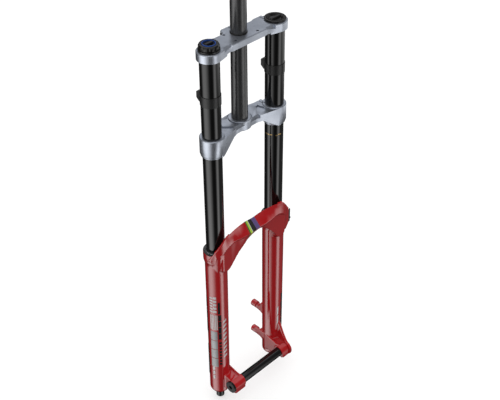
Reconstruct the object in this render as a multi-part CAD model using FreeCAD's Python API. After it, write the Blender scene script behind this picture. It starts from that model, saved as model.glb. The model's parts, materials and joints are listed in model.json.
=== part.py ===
import FreeCAD, Part
import math
import os

from FreeCAD import Vector

# Dual-crown downhill suspension fork with 200 mm of travel, in millimetres.
# +Z runs up the steerer, -Y points to the front of the bicycle and +X to the rider's left.
# The origin is on the steerer's axis, at the shoulder where the headset's crown race sits.
# The damper is in the -X leg. The air spring and the brake mounts are in the +X leg.

# Steerer
STEERER_R = 14.3
STEERER_BORE_R = 12.0
STEERER_TOP = 265.0
STEERER_BOTTOM = -18.0
RACE_SEAT_R = 15.0
TAPER_R = 14.8
TAPER_TOP = 140.0
RACE_SEAT_TOP = 10.7
COLLAR_R = 15.3
COLLAR_GROOVE_R = 13.9
COLLAR_END = 167.6

# Stanchions
LEG_X = 78.0
LEG_Y = -10.2
STANCHION_R = 17.5
STANCHION_BORE_R = 15.6
STANCHION_TOP = 166.0
STANCHION_BOTTOM = -397.0

# Crowns
UPPER_TOP = 165.0
UPPER_PLATE_BOTTOM = 153.0
UPPER_CLAMP_BOTTOM = 149.5
LOWER_TOP = 0.0
LOWER_PLATE_TOP = -2.0
LOWER_CLAMP_BOTTOM = -37.0
CLAMP_R = 22.0
CROWN_BEVEL = 1.2
STEM_HOLE_X = 25.4
STEM_HOLE_Y = 14.3
STEM_CENTRE_Y = -5.0
STEM_HOLE_R = 2.5
PINCH_Y = 12.5
PINCH_SLIT_X = 64.0
PINCH_OUTER_X = 71.0
SLIT_WIDTH = 1.6
STEERER_PINCH_Y = 21.5
LOWER_PINCH_Z = (-9.0, -28.0)

# Lower legs
WIPER_TOP = -247.0
COLLAR_TOP = -252.0
COLLAR_OUTER_R = 24.0
LEG_R = 21.4
LEG_FOOT_R = 20.6
LEG_BOTTOM = -621.5
LEG_FLOOR = -605.0
LEG_BORE_R = 18.6
FOOT_HOLE_R = 4.5
HOOD_R = 27.6

# Brake hose guide
GUIDE_X = 104.0
GUIDE_Y = -22.2
GUIDE_SCREW_Z = -273.0

# Wheel axle
AXLE_Y = -51.6
AXLE_Z = -588.0
AXLE_R = 9.95
AXLE_BORE_R = 10.0
AXLE_THREAD_R = 9.0
AXLE_THREAD_BORE_R = 9.05
HUB_HALF = 55.0
DROPOUT_RING_R = 16.2
DROPOUT_R = 14.0
DROPOUT_LEFT_X = 83.0
DROPOUT_RIGHT_X = 80.0

# Brake post mounts
POST_X = 64.0
POST_FACE_Y = 32.0
POST_TOP_Z = -504.5
POST_SPACING = 74.2
POST_R = 7.0
POST_HOLE_R = 2.5
POST_HOLE_DEPTH = 22.0

# Sliding and fastening sizes
SEAL_GAP = 0.05
BOLT_R = 2.5
BOLT_HEAD_R = 4.1
BOLT_HEAD_LENGTH = 5.0
HEX_KEY_R = 2.3
SHAFT_R = 5.0
SHAFT_BORE_R = 2.2
CARTRIDGE_R = 13.5
CARTRIDGE_BORE_R = 12.5

DAMPER = -1
AIR = 1
SIDES = {"damper": DAMPER, "air": AIR}

X = Vector(1, 0, 0)
Y = Vector(0, 1, 0)
Z = Vector(0, 0, 1)


# Basic shapes ---------------------------------------------------------------------------------

def disc(x, y, z0, z1, r):
    """Upright cylinder between two heights."""
    return Part.makeCylinder(r, z1 - z0, Vector(x, y, z0))


def tube(x, y, z0, z1, outer, inner):
    """Upright tube between two heights."""
    return disc(x, y, z0, z1, outer).cut(disc(x, y, z0 - 1, z1 + 1, inner))


def cone(x, y, z0, z1, r0, r1):
    """Upright cone frustum, with radius r0 at z0 and r1 at z1."""
    return Part.makeCone(r0, r1, z1 - z0, Vector(x, y, z0))


def rod_x(x0, x1, y, z, r):
    """Cylinder along X."""
    return Part.makeCylinder(r, x1 - x0, Vector(x0, y, z), X)


def rod_y(x, y0, y1, z, r):
    """Cylinder along Y."""
    return Part.makeCylinder(r, y1 - y0, Vector(x, y0, z), Y)


def block(x0, x1, y0, y1, z0, z1):
    """Box between two corners, given in any order along X."""
    low = min(x0, x1)
    return Part.makeBox(abs(x1 - x0), y1 - y0, z1 - z0, Vector(low, y0, z0))


def extrude(points, direction):
    """Closed straight-sided outline pushed along a direction."""
    wire = Part.makePolygon([Vector(*p) for p in points + points[:1]])
    return Part.Face(wire).extrude(direction)


def plan_prism(outline, z0, z1):
    """Outline in X and Y, raised from z0 to z1."""
    return extrude([(x, y, z0) for x, y in outline], Z * (z1 - z0))


def bevelled_prism(outline, z0, z1, bevel):
    """Plan outline raised from z0 to z1, with its top edges bevelled."""
    prism = plan_prism(outline, z0, z1)
    top_edges = [edge for edge in prism.Edges if edge.BoundBox.ZMin > z1 - 0.01]
    return prism.makeChamfer(bevel, top_edges)


def front_prism(outline, y0, y1):
    """Outline in X and Z, pushed from y0 to y1."""
    return extrude([(x, y0, z) for x, z in outline], Y * (y1 - y0))


def side_prism(outline, x0, x1):
    """Outline in Y and Z, pushed from x0 to x1."""
    return extrude([(x0, y, z) for y, z in outline], X * (x1 - x0))


def lathe(x, y, profile):
    """Outline of (radius, height) points turned about an upright axis."""
    wire = Part.makePolygon([Vector(x + r, y, z) for r, z in profile + profile[:1]])
    return Part.Face(wire).revolve(Vector(x, y, 0), Z, 360)


def hexagon(x, y, z0, z1, flat_r):
    """Upright hexagonal prism, sized by the radius to its flats."""
    corner_r = flat_r / math.cos(math.pi / 6)
    angles = [math.radians(60 * i) for i in range(6)]
    return plan_prism([(x + corner_r * math.cos(a), y + corner_r * math.sin(a)) for a in angles], z0, z1)


def hexagon_x(x0, x1, y, z, flat_r):
    """Hexagonal prism along X, sized by the radius to its flats."""
    corner_r = flat_r / math.cos(math.pi / 6)
    angles = [math.radians(60 * i) for i in range(6)]
    return side_prism([(y + corner_r * math.cos(a), z + corner_r * math.sin(a)) for a in angles], x0, x1)


def mirrored(shape):
    """Copy of a shape on the other side of the fork."""
    return shape.mirror(Vector(0, 0, 0), X)


def both_sides(shape):
    """A shape and its copy on the other side."""
    return [shape, mirrored(shape)]


def both_ways(half):
    """Whole outline from the half with x above zero, listed from the front to the rear."""
    return half + [(-x, y) for x, y in reversed(half)]


def joined(shapes):
    """One solid from shapes that overlap."""
    return shapes[0].multiFuse(shapes[1:]).removeSplitter()


def apart(shapes):
    """Separate solids kept in one group."""
    return Part.makeCompound(shapes)


def cap_screw(axis_point, direction, length):
    """Socket-head screw. Its head's seat is at axis_point, and its shank runs along direction."""
    shank = Part.makeCylinder(BOLT_R, length, axis_point, direction)
    head_start = axis_point - direction * BOLT_HEAD_LENGTH
    head = Part.makeCylinder(BOLT_HEAD_R, BOLT_HEAD_LENGTH, head_start, direction)
    socket = Part.makeCylinder(HEX_KEY_R, 3.0, head_start, direction)
    return head.fuse(shank).cut(socket).removeSplitter()


# Steerer and stanchions -----------------------------------------------------------------------

def steerer_tube():
    """Tube with a shoulder for the headset's crown race and a groove for the collar."""
    return lathe(0, 0, [
        (STEERER_BORE_R, STEERER_BOTTOM),
        (STEERER_R, STEERER_BOTTOM),
        (STEERER_R, LOWER_TOP),
        (RACE_SEAT_R, LOWER_TOP),
        (RACE_SEAT_R, RACE_SEAT_TOP - 0.7),
        (TAPER_R, RACE_SEAT_TOP),
        (STEERER_R, TAPER_TOP),
        (STEERER_R, UPPER_TOP),
        (COLLAR_GROOVE_R, UPPER_TOP),
        (COLLAR_GROOVE_R, COLLAR_END),
        (STEERER_R, COLLAR_END),
        (STEERER_R, STEERER_TOP - 0.8),
        (STEERER_R - 0.8, STEERER_TOP),
        (STEERER_BORE_R, STEERER_TOP),
    ])


def steerer_collar():
    """Snap ring that sits in the steerer's groove, on top of the upper crown."""
    return lathe(0, 0, [
        (COLLAR_GROOVE_R, UPPER_TOP),
        (COLLAR_R, UPPER_TOP),
        (COLLAR_R, COLLAR_END - 1.0),
        (STEERER_R + 0.3, COLLAR_END),
        (COLLAR_GROOVE_R, COLLAR_END),
    ])


def stanchion(side):
    return lathe(side * LEG_X, LEG_Y, [
        (STANCHION_BORE_R, STANCHION_BOTTOM),
        (STANCHION_R - 0.6, STANCHION_BOTTOM),
        (STANCHION_R, STANCHION_BOTTOM + 1.5),
        (STANCHION_R, STANCHION_TOP),
        (STANCHION_BORE_R, STANCHION_TOP),
    ])


def frame_bumper(side, z0, z1):
    """Rubber band round a stanchion, with a pad that faces the bicycle's down tube."""
    x = side * LEG_X
    band = disc(x, LEG_Y, z0, z1, STANCHION_R + 0.9)
    pad_base = LEG_Y + 8.0
    pad_face = LEG_Y + 25.5
    pad = side_prism([
        (pad_base, z0 + 0.5),
        (LEG_Y + STANCHION_R + 1.5, z0 + 0.5),
        (pad_face, z0 + 6.0),
        (pad_face, z1 - 1.5),
        (LEG_Y + STANCHION_R + 1.5, z1 + 4.0),
        (pad_base, z1 + 4.0),
    ], x - 9.0, x + 9.0)
    split = block(x - 0.6, x + 0.6, LEG_Y - STANCHION_R - 5.0, LEG_Y, z0 - 1, z1 + 1)
    solid = joined([band, pad])
    bore = disc(x, LEG_Y, z0 - 1, z1 + 6, STANCHION_R)
    return solid.cut(bore).cut(split)


# Crowns ---------------------------------------------------------------------------------------

def clamp_bores(z0, z1):
    return [disc(side * LEG_X, LEG_Y, z0, z1, STANCHION_R) for side in SIDES.values()]


def pinch_features(bolt_heights, z0, z1):
    """Slit, threaded hole and head clearance that close one stanchion clamp, on the +X side."""
    slit = block(PINCH_SLIT_X - SLIT_WIDTH / 2, PINCH_SLIT_X + SLIT_WIDTH / 2, LEG_Y, 30.0, z0 - 1, z1 + 1)
    cuts = [slit]
    for z in bolt_heights:
        cuts.append(rod_x(46.0, PINCH_OUTER_X + 1, PINCH_Y, z, BOLT_R))
        cuts.append(rod_x(PINCH_OUTER_X, 90.0, PINCH_Y, z, BOLT_HEAD_R + 0.2))
    return cuts


def upper_crown():
    half_plate = [(0, -26.5), (38, -26.5), (44, -24.8), (60, -28.3), (73.3, -31.7), (78, -10.2),
                  (71, 8), (PINCH_OUTER_X, 16.6), (50, 16.6), (44, 14.2), (26, 14.0), (0, 14.0)]
    plate = bevelled_prism(both_ways(half_plate), UPPER_PLATE_BOTTOM, UPPER_TOP, CROWN_BEVEL)
    steerer_boss = bevelled_prism([(-28, 4), (-28, 12), (-20.5, 17.5), (-20.5, 23.5), (-15, 27.6), (12, 27.8),
                                   (20, 22.5), (28, 12), (28, 4)], UPPER_PLATE_BOTTOM, UPPER_TOP, CROWN_BEVEL)
    half_clamp = [(52, -26.0), (60, -28.3), (73.3, -31.7), (78, -10.2), (71, 8), (PINCH_OUTER_X, 16.6), (54, 16.6)]
    clamp_web = plan_prism(half_clamp, UPPER_CLAMP_BOTTOM, UPPER_TOP - CROWN_BEVEL)
    clamp = lathe(LEG_X, LEG_Y, [
        (0, UPPER_CLAMP_BOTTOM), (CLAMP_R, UPPER_CLAMP_BOTTOM), (CLAMP_R, UPPER_TOP - CROWN_BEVEL),
        (CLAMP_R - CROWN_BEVEL, UPPER_TOP), (0, UPPER_TOP),
    ])
    body = joined([plate, steerer_boss] + both_sides(clamp_web) + both_sides(clamp))
    shoulder = side_prism([(-40, UPPER_TOP + 1), (-21.5, UPPER_TOP + 1), (-21.5, UPPER_TOP), (-29.5, 157.5),
                           (-40, 157.5)], 42.0, 60.0)
    cuts = clamp_bores(UPPER_CLAMP_BOTTOM - 1, UPPER_TOP + 1)
    cuts += both_sides(shoulder)
    middle = (UPPER_TOP + UPPER_PLATE_BOTTOM) / 2
    for cut in pinch_features([middle], UPPER_CLAMP_BOTTOM, UPPER_TOP):
        cuts += both_sides(cut)
    cuts.append(disc(0, 0, UPPER_PLATE_BOTTOM - 1, UPPER_TOP + 1, STEERER_R))
    cuts.append(block(-SLIT_WIDTH / 2, SLIT_WIDTH / 2, 0, 40.0, UPPER_PLATE_BOTTOM - 1, UPPER_TOP + 1))
    cuts.append(rod_x(-21.0, 16.0, STEERER_PINCH_Y, middle, BOLT_R))
    cuts.append(rod_x(-30.0, -14.0, STEERER_PINCH_Y, middle, BOLT_HEAD_R + 0.2))
    for x in (-STEM_HOLE_X, STEM_HOLE_X):
        for y in (STEM_CENTRE_Y - STEM_HOLE_Y, STEM_CENTRE_Y + STEM_HOLE_Y):
            cuts.append(disc(x, y, UPPER_PLATE_BOTTOM - 1, UPPER_TOP + 1, STEM_HOLE_R))
    for cut in cuts:
        body = body.cut(cut)
    return body


def lower_crown():
    half_plan = [(0, -20), (26, -20), (34, -22.8), (73.3, -31.7), (78, -10.2), (71, 8),
                 (PINCH_OUTER_X, 16.8), (54, 16.8), (40, 19.5), (0, 22.5)]
    plan = plan_prism(both_ways(half_plan), LOWER_CLAMP_BOTTOM, LOWER_PLATE_TOP)
    half_front = [(0, LOWER_PLATE_TOP), (90, LOWER_PLATE_TOP), (90, LOWER_CLAMP_BOTTOM), (68, LOWER_CLAMP_BOTTOM),
                  (60, -32.0), (36, -15.5), (0, -15.5)]
    side_view = front_prism(both_ways(half_front), -60, 60)
    arm = plan.common(side_view)
    front_edge = side_prism([(-40, 2), (-15.5, 2), (-15.5, LOWER_PLATE_TOP), (-20.2, -7.5), (-40, -7.5)], -30, 30)
    arm = arm.cut(front_edge)
    for sign in (-1, 1):
        pocket = plan_prism([(sign * x, y) for x, y in ((29, -15.5), (50, -16.5), (55, -6), (52, 7), (46, 5))],
                            LOWER_PLATE_TOP - 2.5, LOWER_PLATE_TOP + 1)
        arm = arm.cut(pocket)
    hub = disc(0, 0, STEERER_BOTTOM, LOWER_PLATE_TOP, 21.0)
    race_platform = lathe(0, 0, [(0, -12), (21.0, -12), (21.0, LOWER_TOP - 0.8), (20.2, LOWER_TOP), (0, LOWER_TOP)])
    clamp_profile = [(0, LOWER_CLAMP_BOTTOM), (20.4, LOWER_CLAMP_BOTTOM), (20.9, LOWER_CLAMP_BOTTOM + 2.6),
                     (CLAMP_R, LOWER_CLAMP_BOTTOM + 5.0), (CLAMP_R, LOWER_TOP - 1.2), (CLAMP_R - 1.2, LOWER_TOP),
                     (0, LOWER_TOP)]
    clamp = lathe(LEG_X, LEG_Y, clamp_profile)
    body = joined([arm, hub, race_platform] + both_sides(clamp))
    cuts = clamp_bores(LOWER_CLAMP_BOTTOM - 1, LOWER_TOP + 1)
    for cut in pinch_features(LOWER_PINCH_Z, LOWER_CLAMP_BOTTOM, LOWER_TOP):
        cuts += both_sides(cut)
    cuts.append(disc(0, 0, STEERER_BOTTOM - 1, LOWER_TOP + 1, STEERER_R))
    cuts.append(tube(0, 0, LOWER_PLATE_TOP - 1.5, LOWER_TOP + 1, 22.4, 21.0))
    for cut in cuts:
        body = body.cut(cut)
    return body


def pinch_screws(heights):
    """Screws that close both stanchion clamps of one crown."""
    screws = []
    for z in heights:
        screw = cap_screw(Vector(PINCH_OUTER_X, PINCH_Y, z), -X, 22.0)
        screws += both_sides(screw)
    return apart(screws)


def steerer_clamp_screw():
    middle = (UPPER_TOP + UPPER_PLATE_BOTTOM) / 2
    return cap_screw(Vector(-14.0, STEERER_PINCH_Y, middle), X, 28.0)


# Damper ---------------------------------------------------------------------------------------

def damper_top_cap():
    x = DAMPER * LEG_X
    body = lathe(x, LEG_Y, [
        (0, 140), (12.6, 140), (12.6, 146), (STANCHION_BORE_R, 146), (STANCHION_BORE_R, 154),
        (14.2, 154), (14.2, 156.4), (STANCHION_BORE_R, 156.4), (STANCHION_BORE_R, STANCHION_TOP),
        (19.0, STANCHION_TOP), (19.0, 168.2), (0, 168.2),
    ])
    knob_socket = disc(x, LEG_Y, 150, 170, 6.4)
    dial_bore = disc(x, LEG_Y, 139, 170, 2.3)
    return body.cut(knob_socket).cut(dial_bore)


def hsc_knob():
    """Scalloped ring that sets high-speed compression, with its hub inside the cap."""
    x = DAMPER * LEG_X
    body = lathe(x, LEG_Y, [
        (2.4, 150.4), (6.3, 150.4), (6.3, 168.6), (17.0, 168.6), (17.8, 169.4), (17.8, 174.2),
        (16.2, 176.6), (12.6, 176.6), (12.2, 176.2), (12.2, 170.6), (2.4, 170.6),
    ])
    for i in range(10):
        angle = math.radians(36 * i + 9)
        scallop = disc(x + 20.4 * math.cos(angle), LEG_Y + 20.4 * math.sin(angle), 170.2, 178, 3.9)
        body = body.cut(scallop)
    return body


def lsc_dial():
    """Dial inside the ring, with a raised finger bar and a needle that reaches the valve."""
    x = DAMPER * LEG_X
    dish = lathe(x, LEG_Y, [
        (0, 171.0), (12.0, 171.0), (12.0, 177.4), (10.6, 177.6), (9.6, 174.4), (0, 174.0),
    ])
    bar = side_prism([(LEG_Y - 3.0, 173.0), (LEG_Y - 1.8, 178.2), (LEG_Y + 1.8, 178.2), (LEG_Y + 3.0, 173.0)],
                     x - 9.2, x + 9.2)
    bar = bar.common(disc(x, LEG_Y, 170, 180, 9.9))
    needle = disc(x, LEG_Y, 96.0, 172.0, 2.0)
    return joined([dish, bar, needle])


def damper_cartridge():
    x = DAMPER * LEG_X
    return tube(x, LEG_Y, -389.0, 140.0, CARTRIDGE_R, CARTRIDGE_BORE_R)


def compression_valve():
    """Piston with flow ports that the shims close, on a centre post."""
    x = DAMPER * LEG_X
    body = lathe(x, LEG_Y, [
        (2.3, 40), (6.0, 40), (6.0, 78), (12.5, 78), (12.5, 92), (8.0, 92), (8.0, 120), (2.3, 120),
    ])
    for i in range(6):
        angle = math.radians(60 * i)
        port = disc(x + 9.9 * math.cos(angle), LEG_Y + 9.9 * math.sin(angle), 76, 94, 1.6)
        body = body.cut(port)
    return body


def compression_shims():
    x = DAMPER * LEG_X
    return apart([tube(x, LEG_Y, 77.0 - 0.4 * i, 77.3 - 0.4 * i, 11.5 - 1.1 * i, 6.0) for i in range(4)])


def expansion_bladder():
    """Rubber sleeve that takes up the oil the shaft pushes aside."""
    x = DAMPER * LEG_X
    return lathe(x, LEG_Y, [
        (6.0, 70), (6.0, 62), (9.6, 58), (9.6, 4), (7.4, -1), (0, -2.5), (0, -4.5), (8.6, -3), (11.4, 3),
        (11.4, 60), (8.6, 70),
    ])


def damper_seal_head():
    x = DAMPER * LEG_X
    return lathe(x, LEG_Y, [
        (SHAFT_R + SEAL_GAP, -397), (14.6, -397), (14.6, -394.0), (STANCHION_BORE_R, -394.0),
        (STANCHION_BORE_R, -389), (CARTRIDGE_BORE_R, -389), (CARTRIDGE_BORE_R, -372), (SHAFT_R + SEAL_GAP, -372),
    ])


def retaining_ring(side):
    """Snap ring under a seal head, seated against the stanchion's wall."""
    return tube(side * LEG_X, LEG_Y, -395.6, -394.0, STANCHION_BORE_R, 14.6)


def damper_shaft():
    x = DAMPER * LEG_X
    body = disc(x, LEG_Y, LEG_FLOOR, -350.0, SHAFT_R)
    thread_bore = disc(x, LEG_Y, LEG_FLOOR - 1, -588.0, 4.0)
    rod_bore = disc(x, LEG_Y, -589.0, -352.0, SHAFT_BORE_R)
    return body.cut(thread_bore).cut(rod_bore)


def rebound_piston():
    x = DAMPER * LEG_X
    body = lathe(x, LEG_Y, [
        (SHAFT_R, -366), (11.6, -366), (11.6, -356), (8.6, -355), (8.6, -353), (SHAFT_R, -353),
    ])
    for i in range(4):
        angle = math.radians(90 * i + 45)
        body = body.cut(disc(x + 8.2 * math.cos(angle), LEG_Y + 8.2 * math.sin(angle), -367, -352, 1.5))
    return body


def rebound_glide_band():
    x = DAMPER * LEG_X
    return tube(x, LEG_Y, -364.5, -357.5, CARTRIDGE_BORE_R - SEAL_GAP, 11.6)


def rebound_shims():
    x = DAMPER * LEG_X
    return apart([tube(x, LEG_Y, -366.4 - 0.4 * i, -366.1 - 0.4 * i, 10.6 - 1.2 * i, SHAFT_R) for i in range(3)])


# Air spring -----------------------------------------------------------------------------------

def air_top_cap():
    x = AIR * LEG_X
    body = lathe(x, LEG_Y, [
        (0, 140), (STANCHION_BORE_R, 140), (STANCHION_BORE_R, 146), (14.2, 146), (14.2, 148.4),
        (STANCHION_BORE_R, 148.4), (STANCHION_BORE_R, STANCHION_TOP), (19.3, STANCHION_TOP), (19.3, 167.6),
        (18.5, 168.4), (15.6, 168.4), (15.2, 168.0), (15.2, 164.4), (8.0, 164.4), (8.0, 152), (0, 152),
    ])
    token_stud = disc(x, LEG_Y, 118, 141, 5.0)
    stem_bore = disc(x, LEG_Y, 117, 153, 3.0)
    return joined([body, token_stud]).cut(stem_bore)


def air_valve_stem():
    """Threaded valve stem with the bore that holds the valve core."""
    x = AIR * LEG_X
    return lathe(x, LEG_Y, [
        (1.3, 120), (3.0, 120), (3.0, 152), (5.4, 152), (5.4, 154), (3.85, 154), (3.85, 163.2), (3.5, 163.8),
        (1.9, 163.8), (1.9, 150), (1.3, 150),
    ])


def valve_core():
    """Spring-loaded pin that lets air in and out when it is pressed."""
    x = AIR * LEG_X
    return lathe(x, LEG_Y, [
        (0, 126), (1.2, 126), (1.2, 151.8), (1.0, 152), (1.0, 161.6), (1.2, 162.0), (1.2, 163.2), (0, 163.2),
    ])


def air_valve_cap():
    """Dished cover over the valve, with a raised finger bar and a threaded skirt."""
    x = AIR * LEG_X
    cover = lathe(x, LEG_Y, [
        (3.95, 155.0), (6.2, 155.0), (6.2, 164.8), (14.9, 164.8), (14.9, 168.2), (14.0, 168.8), (12.8, 168.4),
        (10.0, 166.6), (0, 166.2), (0, 164.6), (3.95, 164.6),
    ])
    bar = side_prism([(LEG_Y - 3.2, 166.0), (LEG_Y - 1.6, 169.2), (LEG_Y + 1.6, 169.2), (LEG_Y + 3.2, 166.0)],
                     x - 12.4, x + 12.4)
    bar = bar.common(disc(x, LEG_Y, 160, 175, 13.2))
    return joined([cover, bar])


def volume_tokens():
    """Two plastic spacers on the stud under the air cap, which shrink the air chamber."""
    x = AIR * LEG_X
    tokens = []
    for top in (139.0, 128.8):
        tokens.append(tube(x, LEG_Y, top - 10.0, top, 13.6, 5.0))
    return apart(tokens)


def air_seal_head():
    x = AIR * LEG_X
    return lathe(x, LEG_Y, [
        (SHAFT_R + SEAL_GAP, -397), (14.6, -397), (14.6, -394.0), (STANCHION_BORE_R, -394.0),
        (STANCHION_BORE_R, -386), (14.4, -386), (14.4, -384), (STANCHION_BORE_R, -384),
        (STANCHION_BORE_R, -380), (SHAFT_R + SEAL_GAP, -380),
    ])


def top_out_bumper():
    x = AIR * LEG_X
    return lathe(x, LEG_Y, [(5.6, -380), (12.0, -380), (12.0, -372), (10.0, -368), (5.6, -368)])


def air_shaft():
    x = AIR * LEG_X
    body = disc(x, LEG_Y, LEG_FLOOR, -352.0, SHAFT_R)
    thread_bore = disc(x, LEG_Y, LEG_FLOOR - 1, -588.0, 4.0)
    return body.cut(thread_bore)


def air_piston():
    x = AIR * LEG_X
    return lathe(x, LEG_Y, [
        (SHAFT_R, -366), (14.6, -366), (14.6, -362), (13.4, -362), (13.4, -357), (14.6, -357), (14.6, -351),
        (0, -351), (0, -352), (SHAFT_R, -352),
    ])


def air_piston_seal():
    x = AIR * LEG_X
    return tube(x, LEG_Y, -361.8, -357.2, STANCHION_BORE_R - SEAL_GAP, 13.4)


def bottom_out_bumper():
    x = AIR * LEG_X
    return lathe(x, LEG_Y, [(5.5, LEG_FLOOR), (16.0, LEG_FLOOR), (13.5, -599), (5.5, -599)])


def cap_o_ring(side):
    """Seal in the groove of a top cap."""
    bottom = {DAMPER: 154.0, AIR: 146.0}[side]
    return tube(side * LEG_X, LEG_Y, bottom, bottom + 2.4, STANCHION_BORE_R, 14.2)


# Lower legs -----------------------------------------------------------------------------------

def leg_body():
    """One leg without its bore, on the +X side: seal collar, tube and foot."""
    return lathe(LEG_X, LEG_Y, [
        (0, LEG_BOTTOM), (15.2, LEG_BOTTOM), (LEG_FOOT_R, LEG_BOTTOM + 6.0), (LEG_R, -330.0), (LEG_R, -292.0),
        (COLLAR_OUTER_R - 0.4, -272.0), (COLLAR_OUTER_R, COLLAR_TOP), (0, COLLAR_TOP),
    ])


ARCH_SECTIONS = {
    0.0: [(-28.0, -211.5), (-31.0, -209.5), (-47.5, -224.0), (-45.5, -229.0), (-30.0, -227.5)],
    20.0: [(-28.3, -210.5), (-31.3, -208.3), (-46.0, -227.8), (-40.5, -238.0), (-29.5, -235.0)],
    34.0: [(-30.0, -210.5), (-32.5, -208.0), (-44.5, -229.8), (-37.8, -251.5), (-29.0, -248.5)],
    44.0: [(-31.6, -211.0), (-33.8, -208.3), (-43.5, -230.5), (-36.2, -261.0), (-28.5, -258.5)],
    55.0: [(-33.2, -211.5), (-35.2, -208.5), (-42.5, -230.8), (-35.0, -275.0), (-26.5, -277.0)],
    66.0: [(-35.0, -212.5), (-36.8, -208.5), (-41.8, -231.5), (-33.0, -289.0), (-24.0, -299.0)],
    77.0: [(-35.8, -213.5), (-37.6, -210.0), (-40.6, -235.5), (-32.5, -294.0), (-24.0, -298.0)],
    85.0: [(-34.0, -221.5), (-36.0, -220.5), (-37.8, -243.5), (-31.5, -285.0), (-24.0, -287.0)],
}


def arch_bridge():
    """Bar that ties both legs together over the tyre, built in two mirrored halves.

    Each section is listed as rear top, top ridge, front ridge, lower front and lower rear.
    """
    outlines = []
    for x, section in ARCH_SECTIONS.items():
        outlines.append(Part.makePolygon([Vector(x, y, z) for y, z in section + section[:1]]))
    spans = [Part.makeLoft([first, second], True, True) for first, second in zip(outlines, outlines[1:])]
    half = joined(spans)
    return joined([half, mirrored(half)])


def arch_hood():
    """Wall that rises from the front of a leg, round the seal, to carry the arch's end."""
    lower = cone(LEG_X, LEG_Y, -298.0, -266.0, LEG_R - 0.5, HOOD_R)
    upper = disc(LEG_X, LEG_Y, -266.0, -205.0, HOOD_R)
    outline = [(65, -330), (65, -262), (66.5, -208.5), (74, -208.0), (80, -215.0), (86, -221.5), (92, -228.5),
               (98, -238.5), (102, -249.0), (104, -258.0), (104, -330)]
    front_half = front_prism(outline, -60, LEG_Y - 2.0)
    return joined([lower, upper]).common(front_half)


def hose_lug():
    """Swelling on the air leg's outer side that the brake hose guide screws to."""
    front = GUIDE_Y - 6.5
    outline = [(86, -222.0), (94.5, -229.0), (103, -243.0), (GUIDE_X, -250.0), (GUIDE_X, -280.0), (96, -292.0),
               (86, -292.0)]
    return front_prism(outline, front, GUIDE_Y + 6.5)


def dropout(outer_x):
    """Arm that runs forward from the foot of the +X leg to the axle, with a ring for the hub."""
    plate_outline = [(-22, -556.0), (-46.0, -568.5), (-60.0, -575.5), (-66.0, -583.0), (-65.0, -594.0),
                     (-56.0, -602.0), (-34.0, -604.5), (-22, -610.0)]
    arm = side_prism(plate_outline, 57.0, outer_x)
    boss = rod_x(57.0, outer_x, AXLE_Y, AXLE_Z, DROPOUT_R)
    ring = rod_x(HUB_HALF, 60.0, AXLE_Y, AXLE_Z, DROPOUT_RING_R)
    web_outline = [(-12, -594.0), (-40.0, -604.0), (-52.0, -588.0), (-44.0, -570.0), (-12.0, -577.0)]
    web = side_prism(web_outline, 57.2, 63.5)
    pocket = side_prism([(-34.0, -552.0), (-34.0, -568.0), (-54.0, -576.0), (-61.0, -562.0)], 62.0, outer_x - 6.0)
    return joined([arm, boss, ring, web]).cut(pocket)


def post_mount(z):
    """Boss for one brake caliper screw, running back from the leg."""
    boss = rod_y(POST_X, -2.0, POST_FACE_Y, z, POST_R)
    brace = side_prism([(-4.0, z + 5.5), (8.0, z + 4.5), (26.0, z + 3.5), (26.0, z - 3.5), (6.0, z - 12.0),
                        (-4.0, z - 20.0)], POST_X - 3.0, POST_X + 5.0)
    return joined([boss, brace])


def post_web():
    """Rib on the air leg's inner side, from the dropout to the lower brake post."""
    outline = [(24.0, -593.0), (-14, -592.0), (-14.0, -577.0), (26.0, -584.0)]
    return side_prism(outline, 57.2, 63.5)


def lower_legs():
    """The one-piece casting: two legs, the arch, the dropouts and the brake posts."""
    body = joined(both_sides(leg_body()) + [arch_bridge()] + both_sides(arch_hood()))
    damper_dropout = mirrored(dropout(DROPOUT_LEFT_X))
    air_dropout = dropout(DROPOUT_RIGHT_X)
    posts = [post_mount(POST_TOP_Z), post_mount(POST_TOP_Z - POST_SPACING)]
    body = joined([body, damper_dropout, air_dropout, hose_lug(), post_web()] + posts)
    cuts = []
    for side in SIDES.values():
        x = side * LEG_X
        cuts.append(disc(x, LEG_Y, LEG_FLOOR, -180.0, LEG_BORE_R))
        cuts.append(disc(x, LEG_Y, -264.0, -180.0, 20.6))
        cuts.append(disc(x, LEG_Y, COLLAR_TOP, -180.0, 24.4))
        cuts.append(disc(x, LEG_Y, LEG_BOTTOM - 1, LEG_FLOOR + 1, FOOT_HOLE_R))
    cuts.append(rod_x(-90.0, -50.0, AXLE_Y, AXLE_Z, AXLE_BORE_R))
    cuts.append(rod_x(50.0, 60.0, AXLE_Y, AXLE_Z, AXLE_BORE_R))
    cuts.append(rod_x(59.0, 90.0, AXLE_Y, AXLE_Z, AXLE_THREAD_BORE_R))
    for z in (POST_TOP_Z, POST_TOP_Z - POST_SPACING):
        cuts.append(rod_y(POST_X, POST_FACE_Y - POST_HOLE_DEPTH, POST_FACE_Y + 1, z, POST_HOLE_R))
    cuts.append(rod_x(96.0, GUIDE_X + 1, GUIDE_Y, GUIDE_SCREW_Z, 2.0))
    for cut in cuts:
        body = body.cut(cut)
    return body


def dust_wiper(side):
    """Rubber seal pressed into the leg's collar, with a lip that hugs the stanchion."""
    return lathe(side * LEG_X, LEG_Y, [
        (STANCHION_R + SEAL_GAP, WIPER_TOP), (18.6, WIPER_TOP), (19.4, -248.4), (19.4, -249.8), (23.2, -250.6),
        (23.6, -251.2), (23.6, COLLAR_TOP), (20.6, COLLAR_TOP), (20.6, -264.0), (18.8, -264.0), (18.8, -254.0),
        (STANCHION_R + SEAL_GAP, -251.0),
    ])


def wiper_spring(side):
    """Garter spring that squeezes the wiper's lip, drawn as its closed ring."""
    return Part.makeTorus(19.9, 0.5, Vector(side * LEG_X, LEG_Y, -249.1))


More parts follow.
